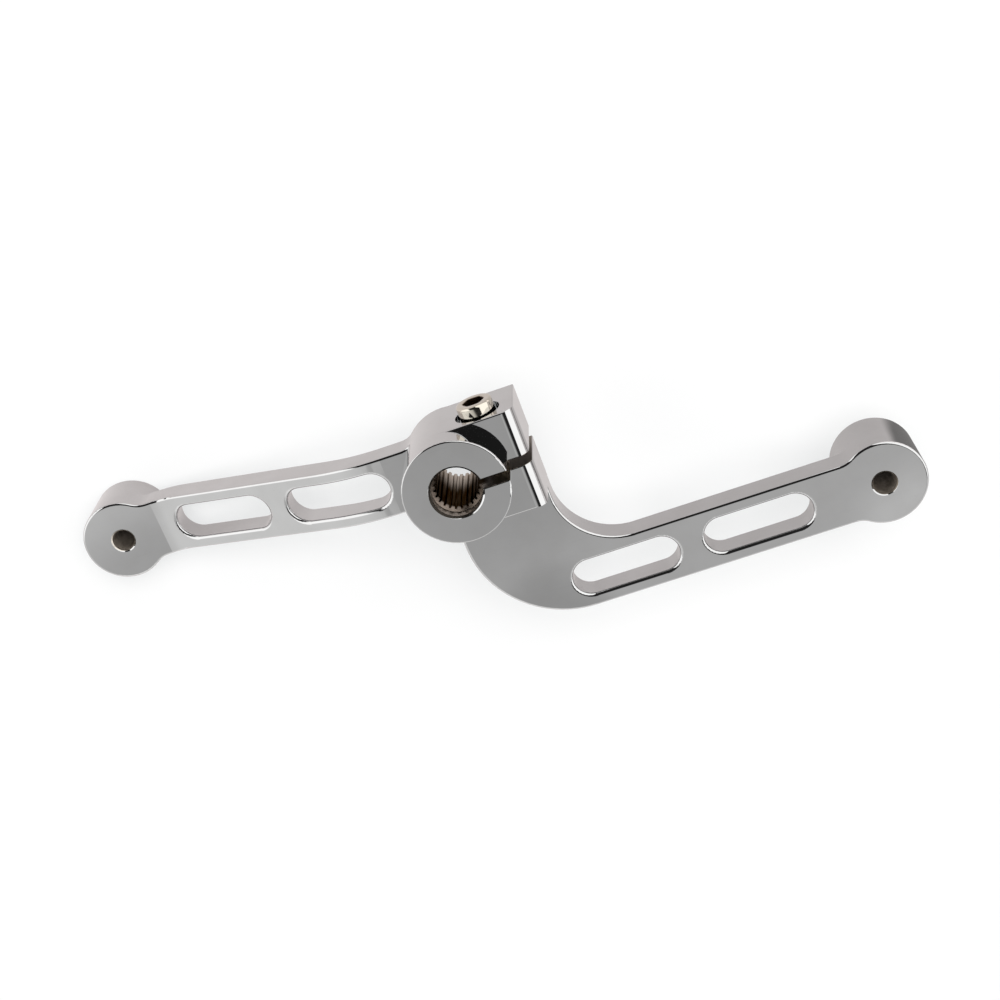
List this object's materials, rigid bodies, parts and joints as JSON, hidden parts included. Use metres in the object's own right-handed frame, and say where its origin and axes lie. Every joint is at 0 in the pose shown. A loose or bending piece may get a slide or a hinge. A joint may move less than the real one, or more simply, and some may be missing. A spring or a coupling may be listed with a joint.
{
  "type": "heel toe shift lever",
  "caption": "One-piece chromed heel and toe shift lever with a splined split-clamp hub, a pinch bolt, slotted arms and a threaded peg boss at each end.",
  "frame": {"origin": "on the splined bore's axis, at mid length of the hub", "axes": "+Z along the bore towards the counterbored face, +X along the clamp slit and the heel arm, +Y along the pinch bolt towards its head"},
  "size_m": [0.2853, 0.0882, 0.0779],
  "materials": {
    "chrome": "polished chrome plate",
    "bolt_plate": "bright nickel plate"
  },
  "bodies": {
    "root": {"lever_body": "chrome", "pinch_bolt": "bolt_plate"}
  },
  "joints": []
}
